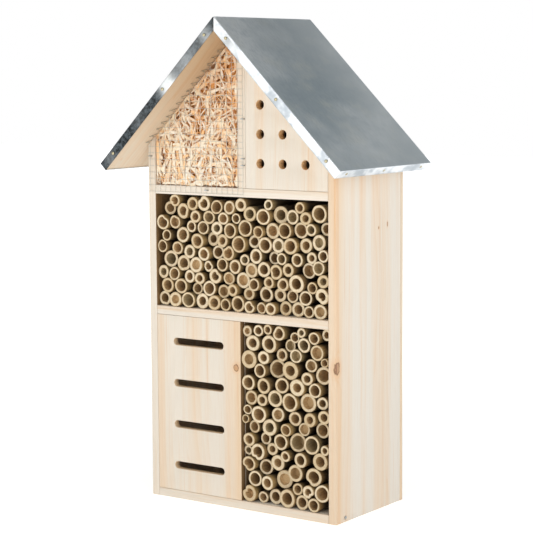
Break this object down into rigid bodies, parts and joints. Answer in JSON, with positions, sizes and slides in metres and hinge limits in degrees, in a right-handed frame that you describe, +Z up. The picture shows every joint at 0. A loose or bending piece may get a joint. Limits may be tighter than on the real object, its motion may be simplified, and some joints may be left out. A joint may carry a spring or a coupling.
{
  "type": "insect hotel",
  "caption": "House-shaped insect hotel: bamboo tubes, a slotted chamber, a drilled gable panel and wood wool behind wire mesh, under a folded sheet-steel roof.",
  "frame": {"origin": "on the ground under the centre of the roof, which is the middle of the bounding box", "axes": "+Z up to the ridge, -Y the way the front faces, +X to the right seen from the front"},
  "size_m": [0.2832, 0.165, 0.48],
  "materials": {
    "fir": "planed, unvarnished",
    "fir_panel": "planed, unvarnished",
    "plywood": "sanded, unvarnished",
    "galvanised_sheet": "satin, faintly cloudy",
    "bamboo": "natural, sawn ends",
    "wood_wool": "loose curled shavings",
    "mesh_wire": "galvanised",
    "brass_nail": "satin",
    "zinc_plate": "zinc plated"
  },
  "bodies": {
    "root": {"back_board": "plywood", "bamboo_lower_1": "bamboo", "bamboo_lower_10": "bamboo", "bamboo_lower_11": "bamboo", "bamboo_lower_2": "bamboo", "bamboo_lower_3": "bamboo", "bamboo_lower_4": "bamboo", "bamboo_lower_5": "bamboo", "bamboo_lower_6": "bamboo", "bamboo_lower_7": "bamboo", "bamboo_lower_8": "bamboo", "bamboo_lower_9": "bamboo", "bamboo_upper_1": "bamboo", "bamboo_upper_2": "bamboo", "bamboo_upper_3": "bamboo", "bamboo_upper_4": "bamboo", "bamboo_upper_5": "bamboo", "bamboo_upper_6": "bamboo", "bamboo_upper_7": "bamboo", "bamboo_upper_8": "bamboo", "bottom_board": "fir", "drilled_panel": "fir_panel", "gable_divider": "fir", "hanger_nail_left": "zinc_plate", "hanger_nail_right": "zinc_plate", "left_side_board": "fir", "lower_divider": "fir", "lower_shelf": "fir", "mesh_staple_1": "zinc_plate", "mesh_staple_2": "zinc_plate", "mesh_staple_3": "zinc_plate", "mesh_staple_4": "zinc_plate", "mesh_staple_5": "zinc_plate", "right_side_board": "fir", "roof_board_left": "fir", "roof_board_right": "fir", "roof_nail_eave_left_1": "brass_nail", "roof_nail_eave_left_2": "brass_nail", "roof_nail_eave_left_3": "brass_nail", "roof_nail_eave_right_1": "brass_nail", "roof_nail_eave_right_2": "brass_nail", "roof_nail_eave_right_3": "brass_nail", "roof_nail_front_left_1": "brass_nail", "roof_nail_front_left_2": "brass_nail", "roof_nail_front_left_3": "brass_nail", "roof_nail_front_right_1": "brass_nail", "roof_nail_front_right_2": "brass_nail", "roof_nail_front_right_3": "brass_nail", "roof_nail_rear_left_1": "brass_nail", "roof_nail_rear_left_2": "brass_nail", "roof_nail_rear_right_1": "brass_nail", "roof_nail_rear_right_2": "brass_nail", "roof_sheet": "galvanised_sheet", "sawtooth_hanger": "zinc_plate", "side_nail_left": "zinc_plate", "side_nail_right": "zinc_plate", "slot_panel": "fir_panel", "upper_shelf": "fir", "wire_mesh": "mesh_wire", "wood_wool": "wood_wool"}
  },
  "joints": []
}
